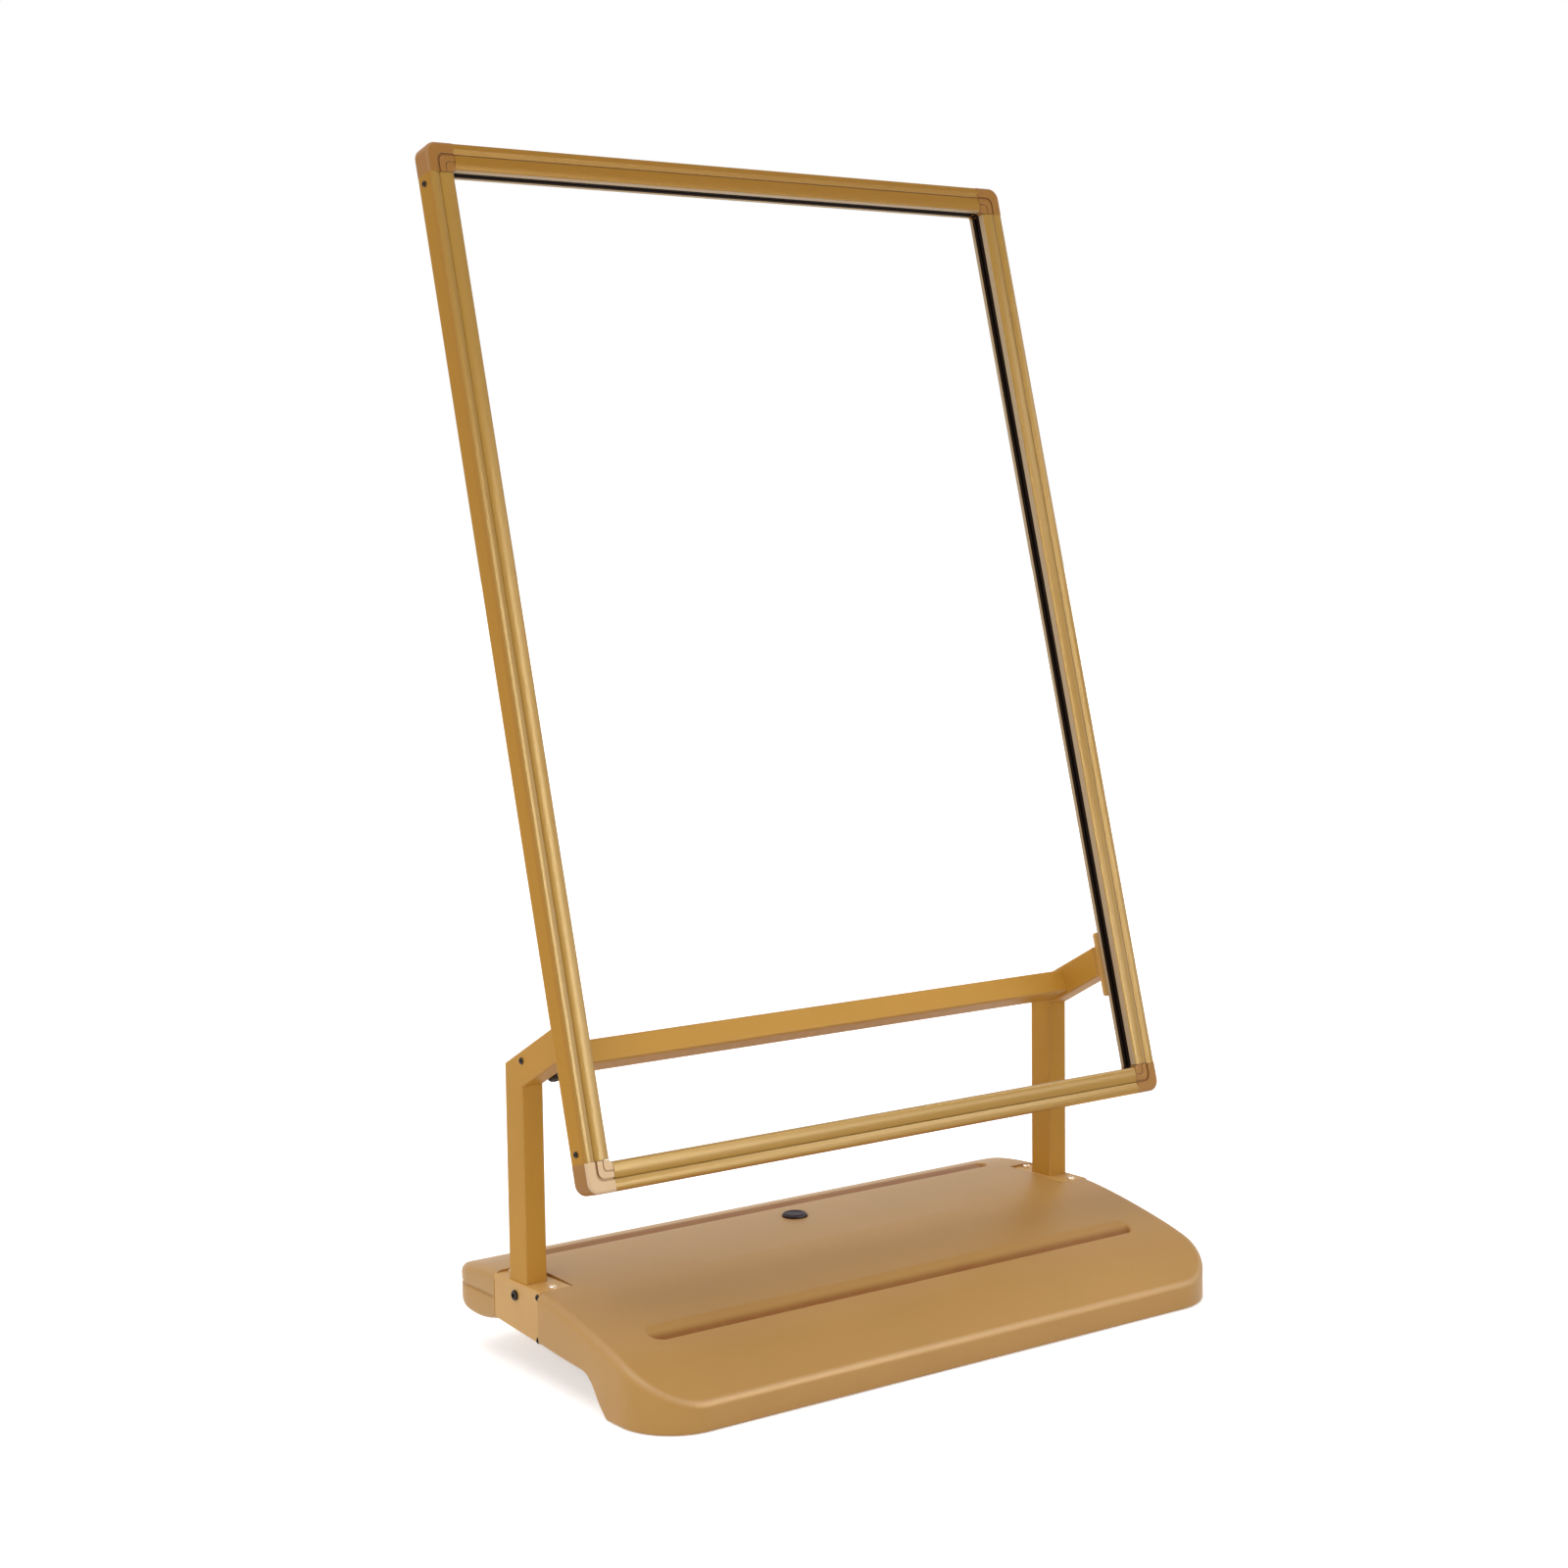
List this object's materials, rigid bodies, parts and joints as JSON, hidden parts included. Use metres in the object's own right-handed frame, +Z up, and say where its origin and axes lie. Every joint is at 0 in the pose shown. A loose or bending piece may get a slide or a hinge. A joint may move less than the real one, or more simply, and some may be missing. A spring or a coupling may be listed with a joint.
{
  "type": "pavement sign stand",
  "caption": "Leaning snap-open poster frame with moulded corners, carried by bent tube posts on a water-fillable moulded base.",
  "frame": {"origin": "centre of the bounding box on the floor, below the middle of the base", "axes": "+X to the right along the base as seen from the front, +Y to the rear (the frame faces -Y), +Z up"},
  "size_m": [0.6304, 0.335, 1.0277],
  "materials": {
    "gold_profile": "gold satin lacquer over an extruded profile, fine lines along its length",
    "gold_tube": "gold satin paint",
    "bracket_sheet": "gold satin paint on folded sheet",
    "corner_plastic": "bronze-gold moulded plastic, finely grained",
    "base_plastic": "gold-brown moulded plastic, satin, finely grained",
    "plug_plastic": "black, satin",
    "gasket_black": "black, matte",
    "screw_steel": "bronze-toned steel",
    "black_steel": "blackened steel"
  },
  "bodies": {
    "stand": {"left_stile": "gold_profile", "right_stile": "gold_profile", "top_rail": "gold_profile", "bottom_rail": "gold_profile", "left_post": "gold_tube", "right_post": "gold_tube", "left_arm": "gold_tube", "right_arm": "gold_tube", "crossbar": "gold_tube", "left_end_bracket": "bracket_sheet", "right_end_bracket": "bracket_sheet", "left_mount_plate": "bracket_sheet", "right_mount_plate": "bracket_sheet", "corner_top_left": "corner_plastic", "corner_top_right": "corner_plastic", "corner_bottom_left": "corner_plastic", "corner_bottom_right": "corner_plastic", "base_tank": "base_plastic", "crossbar_plugs": "plug_plastic", "left_gasket": "gasket_black", "right_gasket": "gasket_black", "top_gasket": "gasket_black", "bottom_gasket": "gasket_black", "bracket_screws": "screw_steel", "post_nuts": "screw_steel", "mount_screws": "screw_steel", "yoke_bolt": "black_steel", "bracket_side_screws": "black_steel", "corner_screws": "black_steel", "post_bolts": "black_steel", "crossbar_screws": "black_steel"},
    "left_leaf": {"left_flap": "gold_profile"},
    "right_leaf": {"right_flap": "gold_profile"},
    "top_leaf": {"top_flap": "gold_profile"},
    "bottom_leaf": {"bottom_flap": "gold_profile"},
    "filler": {"fill_plug": "plug_plastic"}
  },
  "joints": [
    {"name": "left_flap_turn", "type": "hinge", "parent": "stand", "child": "left_leaf", "pos_m": [-0.3008, 0.03437, 0.60333], "axis": [0, -0.2538, -0.9673], "range_deg": [0, 90]},
    {"name": "right_flap_turn", "type": "hinge", "parent": "stand", "child": "right_leaf", "pos_m": [0.3008, 0.03437, 0.60333], "axis": [0, 0.2538, 0.9673], "range_deg": [0, 90]},
    {"name": "top_flap_turn", "type": "hinge", "parent": "stand", "child": "top_leaf", "pos_m": [0, 0.14229, 1.01471], "axis": [-1, 0, 0], "range_deg": [0, 90]},
    {"name": "bottom_flap_turn", "type": "hinge", "parent": "stand", "child": "bottom_leaf", "pos_m": [0, -0.07356, 0.19196], "axis": [1, 0, 0], "range_deg": [0, 90]},
    {"name": "fill_plug_pull", "type": "slide", "parent": "stand", "child": "filler", "axis": [0, 0, 1], "range_m": [0, 0.02]}
  ]
}
